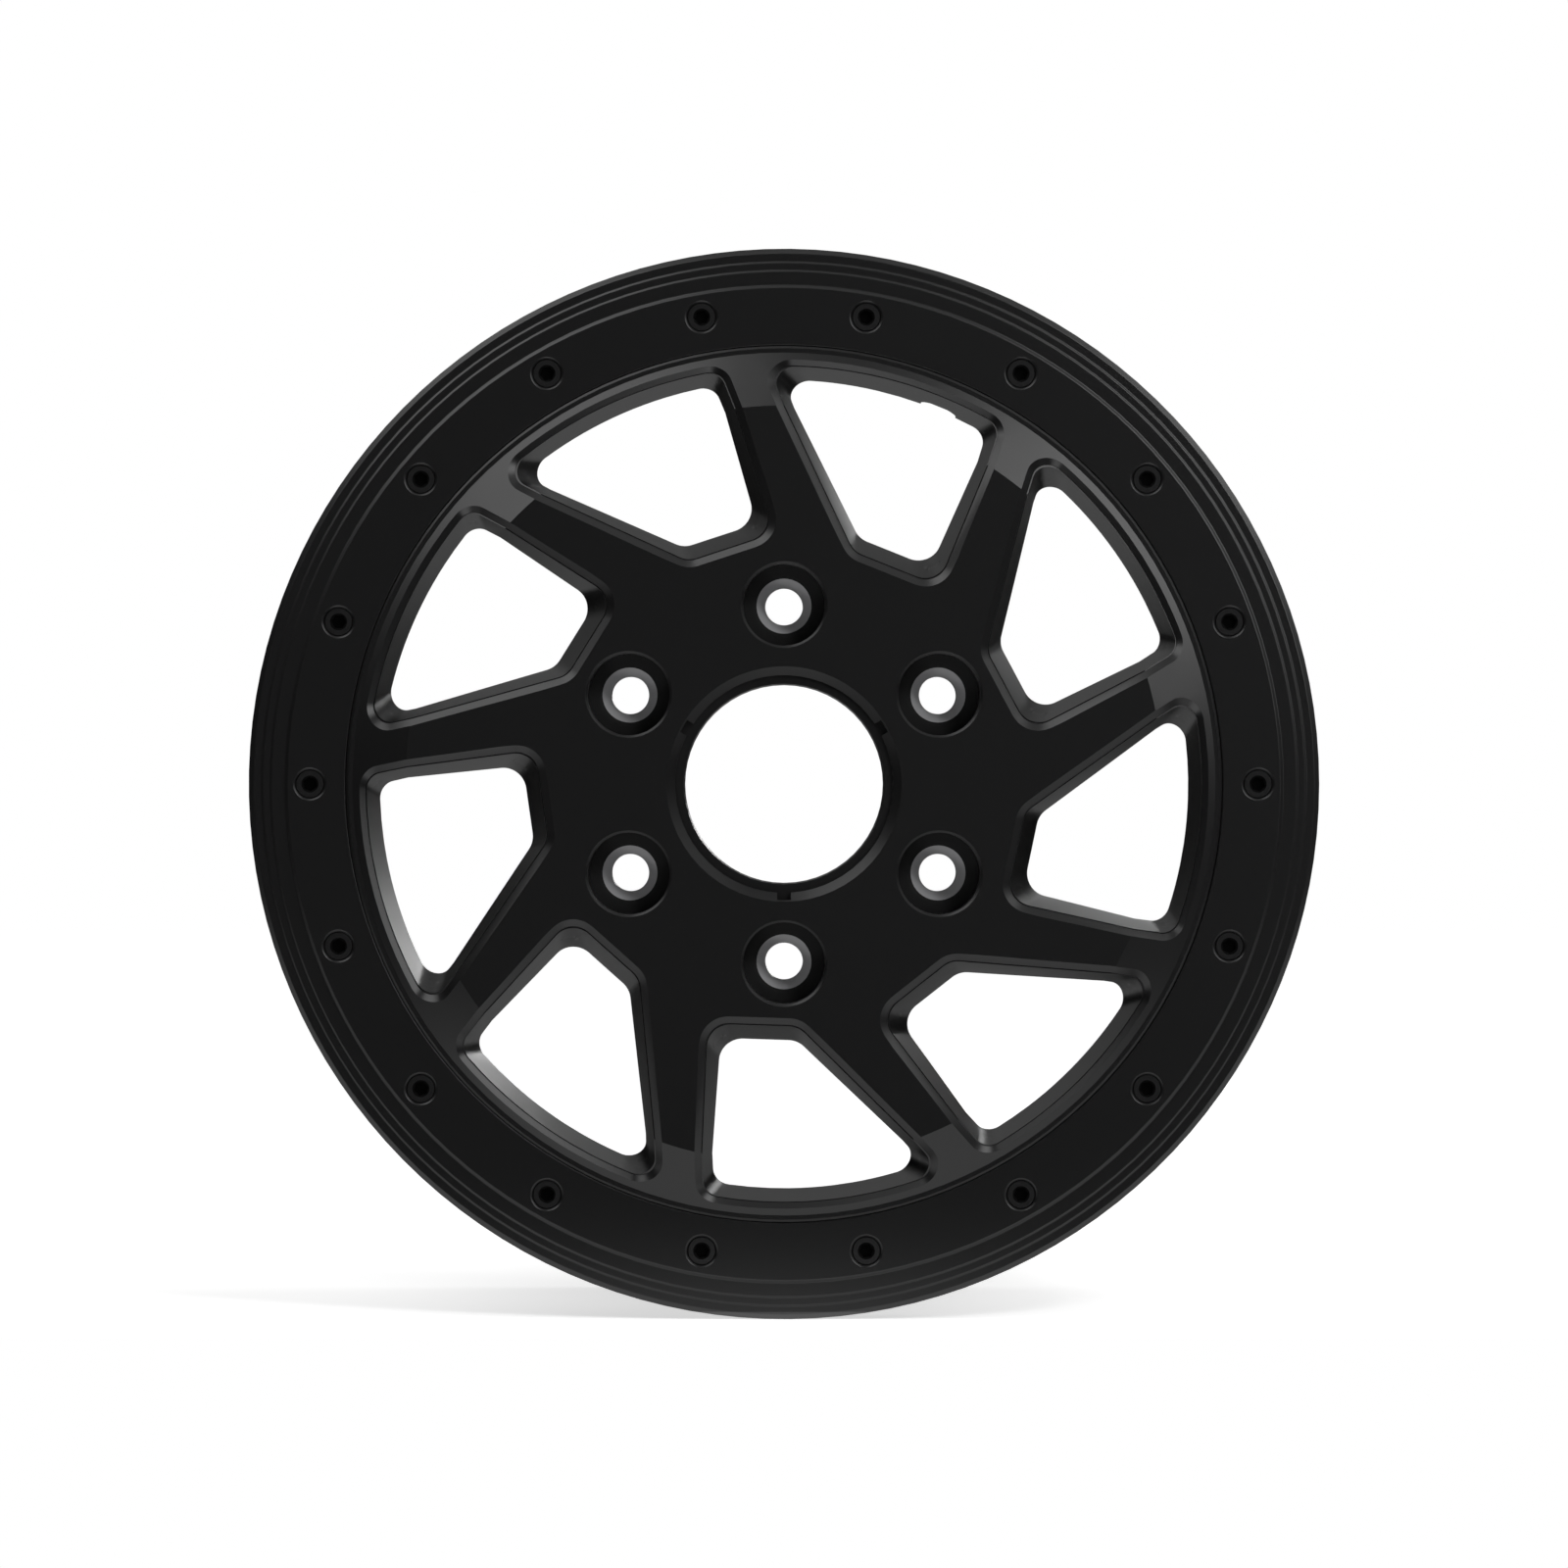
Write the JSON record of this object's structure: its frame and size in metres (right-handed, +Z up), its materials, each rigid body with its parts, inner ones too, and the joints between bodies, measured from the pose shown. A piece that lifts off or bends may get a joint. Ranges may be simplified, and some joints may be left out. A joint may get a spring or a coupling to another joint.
{
  "type": "beadlock wheel",
  "caption": "Cast wheel with slanted spokes and a drop-centre barrel, and a screwed-on ring that clamps the tyre's outer bead",
  "frame": {"origin": "centre of the mounting pad, on the wheel's axis", "axes": "the wheel turns about Y, its face looks towards -Y, +Z is up"},
  "size_m": [0.419, 0.2149, 0.419],
  "materials": {
    "core_coating": "satin black powder coat on cast aluminium",
    "ring_coating": "satin black powder coat on turned aluminium",
    "screw_steel": "black oxide on steel"
  },
  "bodies": {
    "root": {"wheel_core": "core_coating", "beadlock_ring": "ring_coating", "ring_bolts": "screw_steel"}
  },
  "joints": []
}
